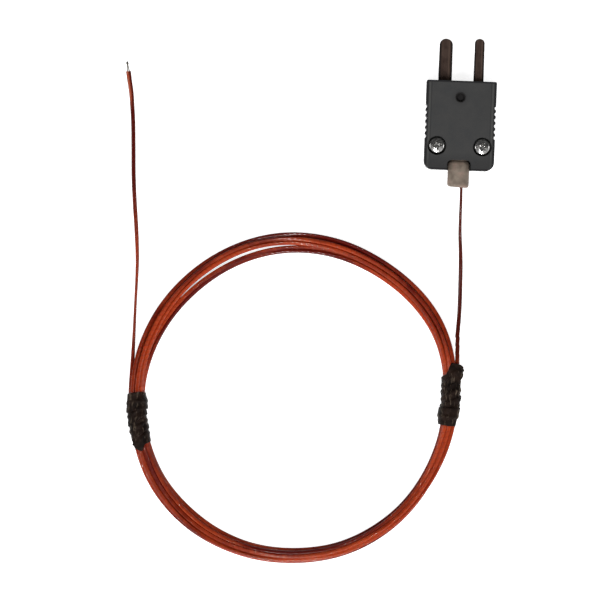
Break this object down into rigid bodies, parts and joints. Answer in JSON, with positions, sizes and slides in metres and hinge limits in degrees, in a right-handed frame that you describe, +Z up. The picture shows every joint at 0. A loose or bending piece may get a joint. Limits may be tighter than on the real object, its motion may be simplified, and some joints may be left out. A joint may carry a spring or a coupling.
{
  "type": "thermocouple probe",
  "caption": "Thermocouple probe: flat-pin plug with rubber grommet, a tied coil of fine duplex wire and a bare welded junction at its free end.",
  "frame": {"origin": "under the middle of the plug, pins and grommet included, on the surface that the plug lies on", "axes": "+Y out of the plug along its flat pins, +Z up out of the cover's face, +X across the plug towards its narrow pin"},
  "size_m": [0.0875, 0.1247, 0.0079],
  "materials": {
    "body_plastic": "moulded charcoal plastic, fine matte grain",
    "blade_alloy": "dark oxidised thermocouple alloy, satin",
    "screw_metal": "bright nickel plate",
    "insert_brass": "turned brass",
    "grommet_rubber": "soft pinkish brown rubber",
    "wire_insulation": "glossy amber-red wrapped polyimide film",
    "tie_plastic": "black plastic-coated twist tie",
    "conductor_alloy": "bare drawn thermocouple wire",
    "bead_metal": "oxidised weld"
  },
  "bodies": {
    "root": {"base_shell": "body_plastic", "cover_shell": "body_plastic", "blade_wide": "blade_alloy", "blade_narrow": "blade_alloy", "terminal_washer_wide": "screw_metal", "terminal_washer_narrow": "screw_metal", "terminal_screw_wide": "screw_metal", "terminal_screw_narrow": "screw_metal", "threaded_insert_left": "insert_brass", "threaded_insert_right": "insert_brass", "cover_screw_left": "screw_metal", "cover_screw_right": "screw_metal", "grommet": "grommet_rubber", "lead_negative": "conductor_alloy", "lead_positive": "conductor_alloy", "wire_to_plug": "wire_insulation", "coil_ring": "wire_insulation", "wire_to_tip": "wire_insulation", "tie_right": "tie_plastic", "tie_left": "tie_plastic", "junction_wire_positive": "conductor_alloy", "junction_wire_negative": "conductor_alloy", "junction_bead": "bead_metal"}
  },
  "joints": []
}
